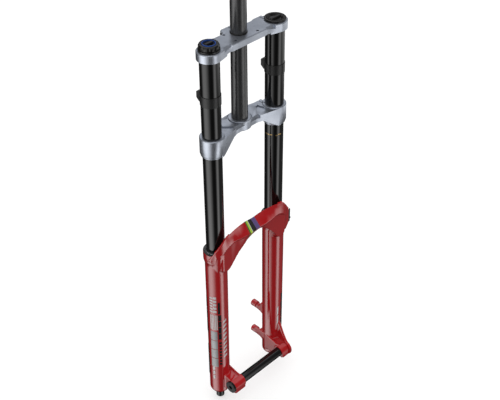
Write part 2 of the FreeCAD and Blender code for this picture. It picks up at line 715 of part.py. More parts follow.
def foam_ring(side):
    return tube(side * LEG_X, LEG_Y, -276.0, -266.0, LEG_BORE_R, STANCHION_R + 0.3)


def bushing(side, z0):
    return tube(side * LEG_X, LEG_Y, z0, z0 + 20.0, LEG_BORE_R, STANCHION_R + SEAL_GAP)


def crush_washer(side):
    return tube(side * LEG_X, LEG_Y, LEG_BOTTOM - 1.0, LEG_BOTTOM, 7.0, 4.0)


def foot_bolt(side):
    """Bolt that holds a shaft to its leg. The damper's is hollow for the rebound rod."""
    x = side * LEG_X
    seat = LEG_BOTTOM - 1.0
    head = hexagon(x, LEG_Y, seat - 6.0, seat, 6.0)
    shank = disc(x, LEG_Y, seat, -590.0, 4.0)
    bolt = joined([head, shank])
    if side == DAMPER:
        return bolt.cut(disc(x, LEG_Y, seat - 8.0, -580.0, SHAFT_BORE_R))
    return bolt.cut(hexagon(x, LEG_Y, seat - 7.0, seat - 2.5, 2.5))


def rebound_knob():
    """Fluted knob under the damper leg, shaped as a cup around the foot bolt's head."""
    x = DAMPER * LEG_X
    body = lathe(x, LEG_Y, [
        (1.9, -646.0), (7.2, -646.0), (8.4, -644.6), (8.4, -624.4), (7.9, -623.4), (7.4, -623.4), (7.4, -629.6),
        (1.9, -629.6),
    ])
    for i in range(12):
        angle = math.radians(30 * i)
        body = body.cut(disc(x + 8.9 * math.cos(angle), LEG_Y + 8.9 * math.sin(angle), -647, -632, 0.9))
    return body


def rebound_rod():
    x = DAMPER * LEG_X
    return disc(x, LEG_Y, -645.4, -362.0, 1.9)


def hose_guide():
    """Moulded clip that holds the brake hose against the leg's outer side."""
    centre_x = GUIDE_X + 2.6
    base = block(GUIDE_X, GUIDE_X + 4.0, GUIDE_Y - 5.5, GUIDE_Y + 5.5, -279.0, -251.0)
    hook = disc(centre_x, GUIDE_Y, -267.0, -251.0, 5.4)
    hook = hook.common(block(GUIDE_X, GUIDE_X + 12.0, GUIDE_Y - 6.0, GUIDE_Y + 6.0, -268.0, -250.0))
    hose_bore = disc(centre_x + 0.6, GUIDE_Y, -268.0, -250.0, 2.6)
    mouth = block(centre_x, GUIDE_X + 12.0, GUIDE_Y - 1.7, GUIDE_Y + 1.7, -268.0, -250.0)
    screw_hole = rod_x(GUIDE_X - 1, GUIDE_X + 6, GUIDE_Y, GUIDE_SCREW_Z, 2.0)
    return joined([base, hook]).cut(mouth).cut(hose_bore).cut(screw_hole)


def hose_guide_screw():
    seat = GUIDE_X + 4.0
    shank = rod_x(97.0, seat, GUIDE_Y, GUIDE_SCREW_Z, 2.0)
    head = rod_x(seat, seat + 3.6, GUIDE_Y, GUIDE_SCREW_Z, 4.3)
    socket = hexagon_x(seat + 1.6, seat + 4.0, GUIDE_Y, GUIDE_SCREW_Z, 1.5)
    return joined([shank, head]).cut(socket)


# Through axle ---------------------------------------------------------------------------------

def axle_collar():
    """Ring that centres the axle's head against the damper-side dropout."""
    outer = rod_x(-88.0, -83.3, AXLE_Y, AXLE_Z, 12.8)
    recess = rod_x(-89.0, -85.6, AXLE_Y, AXLE_Z, 11.3)
    bore = rod_x(-90.0, -83.0, AXLE_Y, AXLE_Z, AXLE_BORE_R)
    return outer.cut(recess).cut(bore)


def axle():
    """Hollow through axle: flanged head, plain barrel and threaded end."""
    flange = rod_x(-88.0, -85.7, AXLE_Y, AXLE_Z, 11.25)
    barrel = rod_x(-86.0, 59.5, AXLE_Y, AXLE_Z, AXLE_R)
    thread = rod_x(59.0, 78.5, AXLE_Y, AXLE_Z, AXLE_THREAD_R)
    bore = rod_x(-70.0, 80.0, AXLE_Y, AXLE_Z, 7.5)
    socket = hexagon_x(-89.0, -74.0, AXLE_Y, AXLE_Z, 4.0)
    return joined([flange, barrel, thread]).cut(bore).cut(socket)


# Everything -----------------------------------------------------------------------------------

def all_parts():
    upper_middle = (UPPER_TOP + UPPER_PLATE_BOTTOM) / 2
    parts = {
        "steerer_tube": steerer_tube(),
        "steerer_collar": steerer_collar(),
        "upper_crown": upper_crown(),
        "lower_crown": lower_crown(),
        "upper_clamp_screws": pinch_screws([upper_middle]),
        "lower_clamp_screws": pinch_screws(LOWER_PINCH_Z),
        "steerer_clamp_screw": steerer_clamp_screw(),
        "damper_frame_bumper": frame_bumper(DAMPER, 64.0, 83.0),
        "air_frame_bumper": frame_bumper(AIR, 64.0, 83.0),
        "damper_top_cap": damper_top_cap(),
        "hsc_knob": hsc_knob(),
        "lsc_dial": lsc_dial(),
        "damper_cartridge": damper_cartridge(),
        "compression_valve": compression_valve(),
        "compression_shims": compression_shims(),
        "expansion_bladder": expansion_bladder(),
        "damper_seal_head": damper_seal_head(),
        "damper_shaft": damper_shaft(),
        "rebound_piston": rebound_piston(),
        "rebound_glide_band": rebound_glide_band(),
        "rebound_shims": rebound_shims(),
        "rebound_knob": rebound_knob(),
        "rebound_rod": rebound_rod(),
        "air_top_cap": air_top_cap(),
        "air_valve_stem": air_valve_stem(),
        "valve_core": valve_core(),
        "air_valve_cap": air_valve_cap(),
        "volume_tokens": volume_tokens(),
        "air_seal_head": air_seal_head(),
        "top_out_bumper": top_out_bumper(),
        "air_shaft": air_shaft(),
        "air_piston": air_piston(),
        "air_piston_seal": air_piston_seal(),
        "bottom_out_bumper": bottom_out_bumper(),
        "lower_legs": lower_legs(),
        "hose_guide": hose_guide(),
        "hose_guide_screw": hose_guide_screw(),
        "axle_collar": axle_collar(),
        "axle": axle(),
    }
    for name, side in SIDES.items():
        parts[name + "_stanchion"] = stanchion(side)
        parts[name + "_cap_o_ring"] = cap_o_ring(side)
        parts[name + "_retaining_ring"] = retaining_ring(side)
        parts[name + "_dust_wiper"] = dust_wiper(side)
        parts[name + "_wiper_spring"] = wiper_spring(side)
        parts[name + "_foam_ring"] = foam_ring(side)
        parts[name + "_upper_bushing"] = bushing(side, -300.0)
        parts[name + "_lower_bushing"] = bushing(side, -392.0)
        parts[name + "_foot_bolt"] = foot_bolt(side)
        parts[name + "_crush_washer"] = crush_washer(side)
    return parts


os.makedirs("parts", exist_ok=True)
for node, shape in all_parts().items():
    shape.exportStep("parts/" + node + ".step")
    print(node, len(shape.Solids), "valid" if shape.isValid() else "INVALID", round(shape.Volume))
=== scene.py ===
import json
import math

import bmesh
import bpy
from mathutils import Matrix, Vector


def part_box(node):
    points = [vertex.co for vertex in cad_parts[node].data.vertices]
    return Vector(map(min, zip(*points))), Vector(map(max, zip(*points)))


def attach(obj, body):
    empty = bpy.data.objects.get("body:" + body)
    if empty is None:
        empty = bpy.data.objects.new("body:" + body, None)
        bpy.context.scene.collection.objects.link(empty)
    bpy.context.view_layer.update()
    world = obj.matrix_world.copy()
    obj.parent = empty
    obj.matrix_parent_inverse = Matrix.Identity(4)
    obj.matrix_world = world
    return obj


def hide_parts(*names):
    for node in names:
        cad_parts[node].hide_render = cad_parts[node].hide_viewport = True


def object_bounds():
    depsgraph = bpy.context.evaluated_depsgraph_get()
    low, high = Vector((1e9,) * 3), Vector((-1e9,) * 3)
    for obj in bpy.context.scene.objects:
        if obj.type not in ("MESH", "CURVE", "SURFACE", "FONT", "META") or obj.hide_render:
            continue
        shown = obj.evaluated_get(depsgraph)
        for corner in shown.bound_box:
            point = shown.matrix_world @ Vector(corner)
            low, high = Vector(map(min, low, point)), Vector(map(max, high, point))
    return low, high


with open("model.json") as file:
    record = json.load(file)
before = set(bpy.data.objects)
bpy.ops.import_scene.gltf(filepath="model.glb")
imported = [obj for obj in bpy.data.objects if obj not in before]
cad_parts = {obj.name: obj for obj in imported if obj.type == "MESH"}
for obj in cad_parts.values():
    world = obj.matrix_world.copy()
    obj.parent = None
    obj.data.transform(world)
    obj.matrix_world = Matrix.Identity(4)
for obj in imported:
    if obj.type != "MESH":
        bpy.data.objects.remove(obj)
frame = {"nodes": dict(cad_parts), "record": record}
cad_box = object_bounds()

# Lengths below are in millimetres in the CAD's frame, and become metres when a mesh is made.
MM = 0.001
LEG_X = (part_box("air_stanchion")[0].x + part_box("air_stanchion")[1].x) / 2 / MM
LEG_Y = (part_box("air_stanchion")[0].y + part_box("air_stanchion")[1].y) / 2 / MM
AXLE_Y = -51.6
AXLE_Z = -588.0
AXLE_BORE_R = 10.0
AXLE_THREAD_BORE_R = 9.05
HUB_HALF = 55.0
LEG_FLOOR = -605.0
LEG_BOTTOM = -621.5
LEG_R = 21.4
LEG_FOOT_R = 20.6
LEG_BORE_R = 18.6
COLLAR_TOP = -252.0
COLLAR_R = 24.0
SEAL_BORE_R = 20.6
SEAL_FLOOR = -264.0
HOOD_R = 27.6
ARM_INNER_X = 57.0
AIR_ARM_X = 80.0
DAMPER_ARM_X = 83.6
POST_X = 64.0
POST_HEIGHTS = (-504.5, -578.7)
STEERER_R = 14.3
STANCHION_R = 17.5
CASTING_TRIANGLES = 190000
SIDES = {"damper": -1, "air": 1}


# Camera ---------------------------------------------------------------------------------------

CAMERA_PLACE = (-1.03934, -1.05239, 0.91566)
CAMERA_AZIMUTH = -0.7907849
CAMERA_ELEVATION = 0.6395113
CAMERA_ROLL = 0.0065809
CAMERA_LENS = 70.67


def make_camera():
    """Camera at the photograph's viewing angle."""
    back = Vector((
        math.sin(CAMERA_AZIMUTH) * math.cos(CAMERA_ELEVATION),
        -math.cos(CAMERA_AZIMUTH) * math.cos(CAMERA_ELEVATION),
        math.sin(CAMERA_ELEVATION),
    ))
    right = (-back).cross(Vector((0, 0, 1))).normalized()
    down = (-back).cross(right)
    turned_right = math.cos(CAMERA_ROLL) * right + math.sin(CAMERA_ROLL) * down
    turned_down = math.cos(CAMERA_ROLL) * down - math.sin(CAMERA_ROLL) * right
    camera = bpy.data.objects.new("camera", bpy.data.cameras.new("camera"))
    bpy.context.scene.collection.objects.link(camera)
    camera.data.lens = CAMERA_LENS
    camera.data.sensor_width = 36.0
    axes = Matrix((turned_right, -turned_down, back)).transposed()
    camera.matrix_world = Matrix.Translation(CAMERA_PLACE) @ axes.to_4x4()
    bpy.context.scene.camera = camera


make_camera()


# Materials ------------------------------------------------------------------------------------

def noise(tree, vector, scale, detail=3.0):
    node = tree.nodes.new("ShaderNodeTexNoise")
    node.inputs["Scale"].default_value = scale
    node.inputs["Detail"].default_value = detail
    tree.links.new(vector, node.inputs["Vector"])
    return node.outputs["Fac"]


def remap(tree, value, low, high, new_low, new_high):
    """Value between low and high, moved to between two others."""
    node = tree.nodes.new("ShaderNodeMapRange")
    for socket, number in zip(node.inputs[1:5], (low, high, new_low, new_high)):
        socket.default_value = number
    tree.links.new(value, node.inputs["Value"])
    return node.outputs["Result"]


def mixed(tree, factor, first, second):
    """Colour between two, which are colours or sockets."""
    node = tree.nodes.new("ShaderNodeMix")
    node.data_type = "RGBA"
    tree.links.new(factor, node.inputs["Factor"])
    for name, colour in (("A", first), ("B", second)):
        socket = next(s for s in node.inputs if s.name == name and s.type == "RGBA")
        if isinstance(colour, tuple):
            socket.default_value = (*colour, 1)
        else:
            tree.links.new(colour, socket)
    return next(s for s in node.outputs if s.type == "RGBA")


def product(tree, first, second):
    node = tree.nodes.new("ShaderNodeMath")
    node.operation = "MULTIPLY"
    tree.links.new(first, node.inputs[0])
    tree.links.new(second, node.inputs[1])
    return node.outputs[0]


def window(tree, value, low, start, end, high):
    """One between start and end, falling to zero at low and at high."""
    rise = remap(tree, value, low, start, 0.0, 1.0)
    fall = remap(tree, value, end, high, 1.0, 0.0)
    return product(tree, rise, fall)


def make_look(name, dark, light, rough, metallic=0.0, grain=800.0, relief=0.01, stretch=(1, 1, 1), coat=0.0,
              coat_rough=0.05, coat_index=1.5, specular=0.5):
    """Finish with a fine grain in its colour, roughness and surface."""
    material = bpy.data.materials.new(name)
    material.use_nodes = True
    tree = material.node_tree
    shader = tree.nodes["Principled BSDF"]
    place = tree.nodes.new("ShaderNodeMapping")
    place.inputs["Scale"].default_value = stretch
    tree.links.new(tree.nodes.new("ShaderNodeTexCoord").outputs["Object"], place.inputs["Vector"])
    fine = noise(tree, place.outputs["Vector"], grain)
    broad = noise(tree, place.outputs["Vector"], grain * 0.06, 2.0)
    blend = tree.nodes.new("ShaderNodeMath")
    blend.operation = "MULTIPLY_ADD"
    blend.inputs[1].default_value = 0.5
    tree.links.new(fine, blend.inputs[0])
    tree.links.new(remap(tree, broad, 0.3, 0.7, 0.0, 0.5), blend.inputs[2])
    colour = mixed(tree, blend.outputs[0], dark, light)
    tree.links.new(colour, shader.inputs["Base Color"])
    tree.links.new(remap(tree, fine, 0.3, 0.7, rough[0], rough[1]), shader.inputs["Roughness"])
    bump = tree.nodes.new("ShaderNodeBump")
    bump.inputs["Strength"].default_value = 1.0
    bump.inputs["Distance"].default_value = relief * MM
    tree.links.new(fine, bump.inputs["Height"])
    tree.links.new(bump.outputs["Normal"], shader.inputs["Normal"])
    shader.inputs["Metallic"].default_value = metallic
    shader.inputs["Coat Weight"].default_value = coat
    shader.inputs["Coat Roughness"].default_value = coat_rough
    shader.inputs["Coat IOR"].default_value = coat_index
    shader.inputs["Specular IOR Level"].default_value = specular
    return material


# Dark and light tone and range of roughness of each finish, and what sets it apart from plain paint.
FINISHES = {
    "steerer_black": dict(dark=(0.018, 0.018, 0.019), light=(0.030, 0.030, 0.031), rough=(0.24, 0.32),
                          grain=500, stretch=(1, 1, 0.15), specular=0.7),
    "stanchion_black": dict(dark=(0.003, 0.003, 0.003), light=(0.004, 0.004, 0.004), rough=(0.08, 0.11),
                            grain=900, relief=0.001),
    "crown_grey": dict(dark=(0.31, 0.335, 0.385), light=(0.50, 0.53, 0.59), rough=(0.26, 0.40),
                       metallic=0.9, grain=750, relief=0.03),
    "casting_red": dict(dark=(0.37, 0.008, 0.010), light=(0.42, 0.010, 0.013), rough=(0.30, 0.36),
                        grain=300, relief=0.001, coat=1.0, coat_rough=0.015, coat_index=1.8,
                        specular=0.0),
    "knob_black": dict(dark=(0.004, 0.004, 0.004), light=(0.009, 0.008, 0.007), rough=(0.16, 0.26),
                       grain=900, specular=0.35),
    "dial_blue": dict(dark=(0.012, 0.055, 0.26), light=(0.022, 0.085, 0.36), rough=(0.24, 0.34),
                      metallic=0.6, grain=900),
    "alloy_bare": dict(dark=(0.46, 0.46, 0.47), light=(0.62, 0.62, 0.63), rough=(0.22, 0.34),
                       metallic=1.0, grain=600, stretch=(1, 1, 6)),
    "steel_black": dict(dark=(0.060, 0.070, 0.076), light=(0.095, 0.108, 0.116), rough=(0.20, 0.32),
                        metallic=0.8, grain=700),
    "steel_bright": dict(dark=(0.42, 0.42, 0.43), light=(0.60, 0.60, 0.61), rough=(0.18, 0.30),
                         metallic=1.0, grain=600),
    "seal_rubber": dict(dark=(0.010, 0.010, 0.010), light=(0.018, 0.018, 0.018), rough=(0.42, 0.58),
                        grain=900, relief=0.02),
    "bumper_rubber": dict(dark=(0.006, 0.006, 0.006), light=(0.011, 0.011, 0.011), rough=(0.34, 0.46),
                          grain=800, relief=0.02, specular=0.4),
    "black_plastic": dict(dark=(0.010, 0.010, 0.010), light=(0.018, 0.018, 0.018), rough=(0.34, 0.48),
                          grain=1100, relief=0.02),
    "token_plastic": dict(dark=(0.30, 0.31, 0.33), light=(0.37, 0.38, 0.40), rough=(0.40, 0.50)),
    "bushing_bronze": dict(dark=(0.34, 0.21, 0.09), light=(0.46, 0.30, 0.13), rough=(0.30, 0.42),
                           metallic=1.0),
    "oil_foam": dict(dark=(0.36, 0.28, 0.12), light=(0.55, 0.44, 0.22), rough=(0.80, 0.95), grain=1500,
                     relief=0.2),
    "white_ink": dict(dark=(0.42, 0.42, 0.42), light=(0.56, 0.56, 0.56), rough=(0.26, 0.34), coat=0.6),
    "silver_ink": dict(dark=(0.16, 0.16, 0.165), light=(0.26, 0.26, 0.265), rough=(0.26, 0.34),
                       metallic=0.3, coat=0.6),
    "black_ink": dict(dark=(0.004, 0.004, 0.004), light=(0.008, 0.008, 0.008), rough=(0.22, 0.30),
                      coat=0.8),
    "gold_ink": dict(dark=(0.30, 0.20, 0.07), light=(0.42, 0.29, 0.11), rough=(0.26, 0.34),
                     metallic=0.7),
    "lime_ink": dict(dark=(0.30, 0.46, 0.02), light=(0.42, 0.62, 0.04), rough=(0.26, 0.34), coat=0.8),
    "green_ink": dict(dark=(0.03, 0.11, 0.015), light=(0.05, 0.16, 0.02), rough=(0.26, 0.34), coat=0.8),
    "violet_ink": dict(dark=(0.070, 0.045, 0.16), light=(0.11, 0.065, 0.22), rough=(0.26, 0.34),
                       coat=0.8),
}
LOOKS = {name: make_look(name, **finish) for name, finish in FINISHES.items()}


SLOTS = {part["node"]: part["material_slot"] for part in frame["record"]["subparts"]}
for node, slot in SLOTS.items():
    mesh = frame["nodes"][node].data
    mesh.materials.clear()
    mesh.materials.append(LOOKS[slot])


# Mesh tools -----------------------------------------------------------------------------------

def new_piece(name, bm):
    """Object from a bmesh in metres."""
    bmesh.ops.recalc_face_normals(bm, faces=bm.faces)
    mesh = bpy.data.meshes.new(name)
    bm.to_mesh(mesh)
    bm.free()
    piece = bpy.data.objects.new(name, mesh)
    bpy.context.scene.collection.objects.link(piece)
    return piece


def skinned(name, rings, endless=False):
    """Mesh through equal rings of points in millimetres, with its ends closed unless it is endless."""
    bm = bmesh.new()
    rows = [[bm.verts.new(Vector(point) * MM) for point in ring] for ring in rings]
    pairs = list(zip(rows, rows[1:]))
    if endless:
        pairs.append((rows[-1], rows[0]))
    else:
        bm.faces.new(rows[0])
        bm.faces.new(rows[-1])
    count = len(rings[0])
    for first, second in pairs:
        for i in range(count):
            j = (i + 1) % count
            bm.faces.new((first[i], first[j], second[j], second[i]))
    return new_piece(name, bm)


def turned_solid(name, x, y, profile, segments=96):
    """Solid of (radius, height) points turned about an upright axis, from one end to the other."""
    angles = [2 * math.pi * i / segments for i in range(segments)]
    rings = [[(x + r * math.cos(a), y + r * math.sin(a), z) for a in angles] for r, z in profile]
    return skinned(name, rings)


def turned_ring(name, x, y, profile, segments=96):
    """Hollow solid from a closed outline of (radius, height) points turned about an upright axis."""
    angles = [2 * math.pi * i / segments for i in range(segments)]
    rings = [[(x + r * math.cos(a), y + r * math.sin(a), z) for r, z in profile] for a in angles]
    return skinned(name, rings, endless=True)


def rod(name, axis, start, end, centre, radius, segments=48):
    """Cylinder along X or Y. The centre gives the other two coordinates."""
    ring = []
    for i in range(segments):
        angle = 2 * math.pi * i / segments
        ring.append((centre[0] + radius * math.cos(angle), centre[1] + radius * math.sin(angle)))
    return prism(name, axis, start, end, ring)


def prism(name, axis, start, end, outline):
    """Outline in the two other axes, pushed along X or Y."""
    if axis == "X":
        return skinned(name, [[(at, a, b) for a, b in outline] for at in (start, end)])
    return skinned(name, [[(a, at, b) for a, b in outline] for at in (start, end)])


def mirrored(piece):
    """Copy of a piece on the other side of the fork."""
    bm = bmesh.new()
    bm.from_mesh(piece.data)
    for vert in bm.verts:
        vert.co.x = -vert.co.x
    return new_piece(piece.name + "_mirrored", bm)


def remove(*pieces):
    for piece in pieces:
        bpy.data.objects.remove(piece)


def merged(name, pieces):
    """All pieces as one mesh, still with the walls that are inside it."""
    bm = bmesh.new()
    for piece in pieces:
        bm.from_mesh(piece.data)
    remove(*pieces)
    return new_piece(name, bm)


def apply_modifiers(piece):
    evaluated = piece.evaluated_get(bpy.context.evaluated_depsgraph_get())
    mesh = bpy.data.meshes.new_from_object(evaluated)
    piece.modifiers.clear()
    piece.data = mesh


def fused(piece, voxel, smoothing):
    """Replaces overlapping closed shapes by one skin, and rounds every edge and corner a little."""
    remesh = piece.modifiers.new("skin", "REMESH")
    remesh.mode = "VOXEL"
    remesh.voxel_size = voxel * MM
    smooth = piece.modifiers.new("fillets", "SMOOTH")
    smooth.factor = 0.5
    smooth.iterations = smoothing
    apply_modifiers(piece)


def cut(piece, *tools):
    """Takes the tools' solids away from a piece."""
    for tool in tools:
        boolean = piece.modifiers.new("cut", "BOOLEAN")
        boolean.operation = "DIFFERENCE"
        boolean.solver = "MANIFOLD"
        boolean.object = tool
    apply_modifiers(piece)
    remove(*tools)


def shade(piece, angle=35.0):
    """Smooth shading, with edges sharper than the angle kept crisp."""
    for polygon in piece.data.polygons:
        polygon.use_smooth = True
    piece.data.set_sharp_from_angle(angle=math.radians(angle))


def finish_piece(piece, look, body, replaced=()):
    """Gives a piece its finish and its body, and hides the CAD nodes that it stands for."""
    piece.data.materials.clear()
    piece.data.materials.append(LOOKS[look])
    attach(piece, body)
    if replaced:
        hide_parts(*replaced)


def body_of(node):
    bodies = frame["record"]["behaviour"]["bodies"]
    return next(name for name, nodes in bodies.items() if node in nodes)


def refined(node, bevel):
    """Stands for a machined CAD node, with its edges broken by a small bevel."""
    bm = bmesh.new()
    bm.from_mesh(frame["nodes"][node].data)
    bmesh.ops.remove_doubles(bm, verts=bm.verts, dist=0.002 * MM)
    bmesh.ops.dissolve_limit(bm, angle_limit=math.radians(0.8), verts=bm.verts, edges=bm.edges)
    piece = new_piece(node + "_refined", bm)
    edges = piece.modifiers.new("edges", "BEVEL")
    edges.width = bevel * MM
    edges.segments = 2
    edges.limit_method = "ANGLE"
    edges.angle_limit = math.radians(32)
    edges.harden_normals = True
    shade(piece, 40)
    finish_piece(piece, SLOTS[node], body_of(node), [node])


# Lower legs -----------------------------------------------------------------------------------

# Outlines of the arch at each x: rear top, top ridge, front ridge, undercut, lower front, lower rear.
ARCH_SECTIONS = {
    0.0: [(-28.0, -211.5), (-31.0, -209.0), (-47.5, -224.0), (-47.0, -225.0),
          (-45.5, -229.0), (-30.0, -227.5)],
    20.0: [(-28.3, -210.0), (-31.3, -207.3), (-46.0, -227.4), (-45.0, -229.0),
           (-42.0, -238.4), (-29.5, -235.0)],
    34.0: [(-30.0, -209.5), (-32.5, -206.3), (-44.7, -228.6), (-42.4, -231.6),
           (-40.4, -252.2), (-29.0, -248.5)],
    44.0: [(-31.6, -209.5), (-33.8, -206.0), (-43.7, -228.0), (-40.9, -231.2),
           (-39.0, -262.0), (-28.5, -258.5)],
    55.0: [(-33.2, -210.0), (-35.2, -206.4), (-42.7, -227.4), (-39.9, -230.6),
           (-37.7, -276.0), (-26.5, -277.0)],
    66.0: [(-34.0, -211.5), (-37.2, -207.6), (-41.2, -231.0), (-38.6, -234.4),
           (-36.4, -290.0), (-24.0, -299.0)],
    77.0: [(-34.0, -213.5), (-38.3, -209.8), (-39.8, -237.5), (-38.0, -241.0),
           (-36.4, -293.0), (-24.0, -298.0)],
    84.0: [(-31.0, -222.0), (-37.4, -219.0), (-38.2, -244.0), (-37.4, -247.0),
           (-36.0, -288.0), (-22.0, -291.0)],
    90.0: [(-27.0, -230.0), (-34.8, -227.5), (-35.5, -249.5), (-34.0, -251.5),
           (-29.0, -284.0), (-20.0, -286.0)],
    96.0: [(-24.0, -240.0), (-30.0, -237.0), (-30.6, -254.5), (-29.5, -256.0),
           (-26.0, -270.0), (-18.0, -272.0)],
}
# Height of a hood's top at each x, and of its foot at each bearing round the leg in degrees.
HOOD_TOP = [(65, -208.8), (74, -208.0), (80, -215.0), (86, -221.5), (92, -228.5), (98, -238.5),
            (102, -249.0), (105.6, -262.0)]
HOOD_FOOT = [(-118, -299.0), (-56, -299.0), (-27, -282.0), (-14, -271.0), (-4, -269.0)]


def spline(before, start, end, after, t):
    """Catmull-Rom point between start and end."""
    return 0.5 * (2 * start + (end - before) * t + (2 * before - 5 * start + 4 * end - after) * t * t
                  + (3 * start - before - 3 * end + after) * t * t * t)


def arch_section(x):
    """Outline of the arch at x, smoothly filled in between the listed ones."""
    stations = sorted({-at for at in ARCH_SECTIONS} | set(ARCH_SECTIONS))
    last = len(stations) - 1
    i = min(max(sum(at <= x for at in stations) - 1, 0), last - 1)
    near = [ARCH_SECTIONS[abs(stations[min(max(k, 0), last)])] for k in (i - 1, i, i + 1, i + 2)]
    t = (x - stations[i]) / (stations[i + 1] - stations[i])
    return [(x, *spline(*(Vector(point) for point in points), t)) for points in zip(*near)]


def arch_rings(step=2.0):
    """Sections of the whole arch from one side to the other."""
    reach = max(ARCH_SECTIONS)
    count = round(2 * reach / step)
    return [arch_section(-reach + i * step) for i in range(count + 1)]


def height_at(outline, x):
    """Height of a broken line at x."""
    for (x0, z0), (x1, z1) in zip(outline, outline[1:]):
        if x0 <= x <= x1:
            return z0 + (z1 - z0) * (x - x0) / (x1 - x0)
    return outline[0][1] if x < outline[0][0] else outline[-1][1]


def hood(inner_drop):
    """Wall round the front of the +X leg's seal, lower at its inner edge and running out sideways."""
    inner, steps = 23.0, 40
    rings = []
    for i in range(steps + 1):
        degrees = -118 + 114 * i / steps
        angle = math.radians(degrees)
        top = height_at(HOOD_TOP, LEG_X + HOOD_R * math.cos(angle))
        foot = height_at(HOOD_FOOT, degrees)
        outer = min(HOOD_R, max(24.6, 24.6 + (top + 262.0) / 12.0))
        brim = max(foot + 45.0, -262.0) if top > -250.0 else -262.0
        shoulder = min(brim, top - 3.0)
        belly = ((LEG_FOOT_R + outer) / 2 + 0.6, (foot + shoulder) / 2)
        outline = [(19.0, foot), (LEG_FOOT_R, foot), belly, (outer, shoulder), (outer, top - 1.5),
                   (outer - 1.2, top), (inner, top - inner_drop), (inner, -268.0), (19.0, -269.0)]
        rings.append([(LEG_X + r * math.cos(angle), LEG_Y + r * math.sin(angle), z) for r, z in outline])
    return skinned("hood", rings)


def leg():
    """Solid +X leg, a little taller than its machined collar."""
    profile = [(0.05, LEG_BOTTOM), (15.2, LEG_BOTTOM), (18.6, -620.0), (LEG_FOOT_R, LEG_BOTTOM + 6.0),
               (LEG_R, -330.0), (LEG_R, -281.0), (22.2, -276.0), (23.7, -270.5), (COLLAR_R, -267.0),
               (COLLAR_R, COLLAR_TOP + 3), (0.05, COLLAR_TOP + 3)]
    return turned_solid("leg", LEG_X, LEG_Y, profile, 128)


# Side view of a dropout's arm, before its nose is machined.
ARM_OUTLINE = [(-8.0, -565.0), (-28.0, -570.0), (-43.0, -573.2), (-48.0, -572.8), (-60.0, -575.6),
               (-67.0, -584.0), (-67.5, -592.0), (-67.0, -597.0), (-59.5, -602.8), (-34.0, -605.0),
               (-8.0, -608.0)]
# Floor of the hollow in its top: place along the arm, height of the arm, depth.
ARM_HOLLOW = [(-16.0, -567.2, 3.5), (-30.0, -571.0, 3.0), (-44.0, -574.4, 2.2), (-50.0, -576.0, 0.6)]
# What is machined off both noses.
NOSE_WASTE = [(-45.0, -560.0), (-45.0, -573.4), (-58.5, -577.4), (-63.8, -586.0), (-64.0, -600.0),
              (-80.0, -600.0), (-80.0, -560.0)]


def dropout(outer_x, rim):
    """Arm from the foot of the +X leg to the axle, hollowed on top beside a flange on its inner side."""
    arm = prism("arm", "X", ARM_INNER_X, outer_x, ARM_OUTLINE)
    slices = []
    for y, z, deep in ARM_HOLLOW:
        slices.append([(60.0, y, z + 9), (60.0, y, z - deep), (63.5, y, z - deep),
                       (outer_x - rim, y, z - deep * 0.25), (outer_x - rim, y, z + 9)])
    cut(arm, skinned("hollow", slices))
    web_outline = [(-12, -594.0), (-40.0, -602.0), (-52.0, -588.0), (-44.0, -577.0), (-12.0, -577.0)]
    return [
        arm,
        rod("boss", "X", ARM_INNER_X, outer_x, (AXLE_Y, AXLE_Z), 11.4),
        rod("rim", "X", outer_x - 1.2, outer_x, (AXLE_Y, AXLE_Z), 14.2, 96),
        rod("ring", "X", HUB_HALF - 1.5, ARM_INNER_X + 2.0, (AXLE_Y, AXLE_Z), 12.5, 96),
        prism("web", "X", ARM_INNER_X + 0.2, 63.5, web_outline),
    ]


def dropout_fin():
    """Tall rib along the outer side of the air leg's dropout."""
    outline = [(-22.0, -516.0), (-30.0, -527.0), (-36.5, -538.0), (-45.0, -557.0), (-52.0, -569.5),
               (-58.0, -577.0), (-64.5, -584.5), (-64.0, -596.0), (-40.0, -594.0), (-20.0, -575.0)]
    return prism("fin", "X", AIR_ARM_X - 5.5, AIR_ARM_X, outline)


def post_mount(z):
    """Boss for one brake caliper screw, on a saddle that grows out of the leg."""
    saddle = [(-4.0, z + 19.0), (7.0, z + 14.0), (11.0, z + 6.0), (15.0, z + 3.0), (22.0, z + 3.5),
              (30.0, z + 4.5), (30.0, z - 5.0), (8.0, z - 8.0), (-4.0, z - 15.0)]
    return [
        rod("post", "Y", 18.5, 33.2, (POST_X, z), 7.2),
        prism("saddle", "X", POST_X - 4.5, POST_X + 4.5, saddle),
    ]


